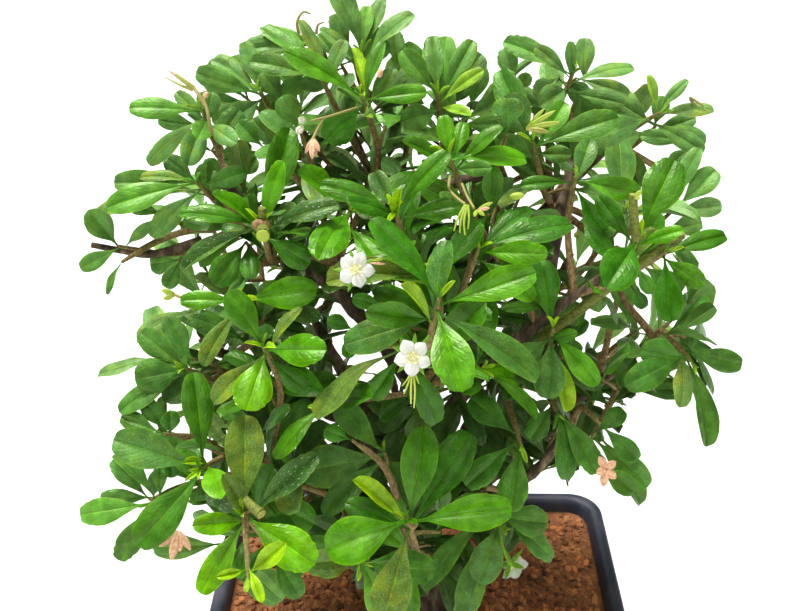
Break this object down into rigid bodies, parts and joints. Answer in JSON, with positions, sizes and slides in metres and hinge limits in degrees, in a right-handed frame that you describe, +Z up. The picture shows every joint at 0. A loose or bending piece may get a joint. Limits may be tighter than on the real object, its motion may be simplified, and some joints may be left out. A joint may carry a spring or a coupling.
{
  "type": "potted fukien tea tree",
  "caption": "Small fukien tea tree with glossy toothed leaves, white flowers and a branching trunk, in a square tapered plastic nursery pot filled with soil.",
  "frame": {"origin": "centre of the pot's flat underside", "axes": "+Z up the trunk, -Y towards the shown side, +X to the right of it"},
  "size_m": [0.1962, 0.1966, 0.3356],
  "materials": {
    "pot_plastic": "satin dark blue-grey moulded plastic",
    "soil": "granular reddish-brown potting soil",
    "bark": "rough grey-brown bark, tan on the twigs",
    "foliage": "glossy green leaves, from yellow-green when young to dark green",
    "petals": "matt white petals with a cream centre"
  },
  "bodies": {
    "root": {"flower_left": "petals", "flower_low": "petals", "flower_middle": "petals", "pot": "pot_plastic", "shoot_centre": "foliage", "shoot_centre_behind": "foliage", "shoot_centre_high": "foliage", "shoot_centre_low": "foliage", "shoot_crest": "foliage", "shoot_crest_left": "foliage", "shoot_crest_right": "foliage", "shoot_crown_01": "foliage", "shoot_crown_02": "foliage", "shoot_crown_03": "foliage", "shoot_crown_04": "foliage", "shoot_crown_05": "foliage", "shoot_crown_06": "foliage", "shoot_crown_07": "foliage", "shoot_crown_08": "foliage", "shoot_crown_09": "foliage", "shoot_crown_10": "foliage", "shoot_crown_11": "foliage", "shoot_crown_12": "foliage", "shoot_crown_13": "foliage", "shoot_crown_14": "foliage", "shoot_crown_15": "foliage", "shoot_crown_16": "foliage", "shoot_crown_17": "foliage", "shoot_crown_18": "foliage", "shoot_crown_19": "foliage", "shoot_crown_20": "foliage", "shoot_edge_right": "foliage", "shoot_far_crest": "foliage", "shoot_far_right": "foliage", "shoot_front": "foliage", "shoot_front_inner": "foliage", "shoot_front_left": "foliage", "shoot_front_right": "foliage", "shoot_high_right": "foliage", "shoot_left_crest": "foliage", "shoot_left_dark": "foliage", "shoot_left_far": "foliage", "shoot_left_high": "foliage", "shoot_left_inner": "foliage", "shoot_left_middle": "foliage", "shoot_left_tip": "foliage", "shoot_left_top": "foliage", "shoot_low_right": "foliage", "shoot_lower_left": "foliage", "shoot_mid_right": "foliage", "shoot_right": "foliage", "shoot_right_centre": "foliage", "shoot_right_edge": "foliage", "shoot_right_high": "foliage", "shoot_right_inner": "foliage", "shoot_right_low": "foliage", "shoot_top_centre": "foliage", "shoot_upper_right": "foliage", "soil": "soil", "wood": "bark"}
  },
  "joints": []
}
